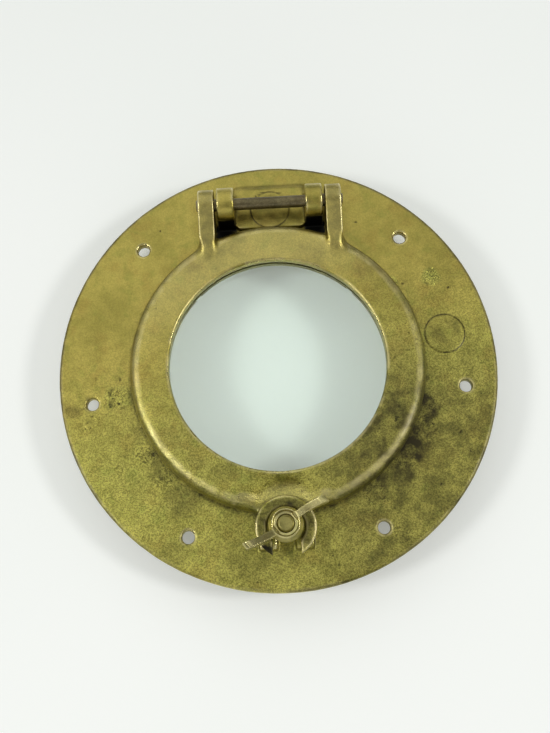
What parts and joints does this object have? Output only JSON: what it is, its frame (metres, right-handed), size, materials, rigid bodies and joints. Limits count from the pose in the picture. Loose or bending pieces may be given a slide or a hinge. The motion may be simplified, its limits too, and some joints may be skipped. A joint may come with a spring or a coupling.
{
  "type": "opening round window",
  "caption": "Round cast brass window frame with a glazed sash on a pin hinge, held shut by a swing-out dog bolt and wing nut.",
  "frame": {"origin": "on the window's axis at the flange's back face, where the spigot starts", "axes": "+Z along the window's axis out of its face, +Y towards the hinge, X along the hinge pin"},
  "size_m": [0.23, 0.23, 0.0606],
  "materials": {
    "cast_brass": "sand cast, aged, brushed in places",
    "turned_brass": "turned, tarnished",
    "dark_brass": "dark tarnish",
    "polished_brass": "hand-worn, bright on its edges",
    "clear_glass": "clear, faintly green",
    "black_rubber": "matt",
    "bedding_compound": "matt"
  },
  "bodies": {
    "frame": {"flange": "cast_brass", "spigot": "cast_brass", "hinge_lugs": "cast_brass", "dog_ears": "cast_brass", "dog_pivot_pin": "dark_brass"},
    "sash": {"sash": "cast_brass", "glass": "clear_glass", "bedding": "bedding_compound", "glazing_ring": "turned_brass", "gasket": "black_rubber", "hinge_pin": "dark_brass"},
    "dog": {"dog_bolt": "turned_brass"},
    "wing_nut": {"wing_nut": "polished_brass"}
  },
  "joints": [
    {"name": "sash_hinge", "type": "hinge", "parent": "frame", "child": "sash", "pos_m": [0, 0.0885, 0.017], "axis": [-1, 0, 0], "range_deg": [0, 180]},
    {"name": "dog_swing", "type": "hinge", "parent": "frame", "child": "dog", "pos_m": [0, -0.0832, 0.008], "axis": [1, 0, 0], "range_deg": [0, 68]},
    {"name": "nut_spin", "type": "hinge", "parent": "dog", "child": "wing_nut", "pos_m": [0, -0.0832, 0.024], "axis": [0, 0, 1], "range_deg": [-2160, 360]}
  ]
}
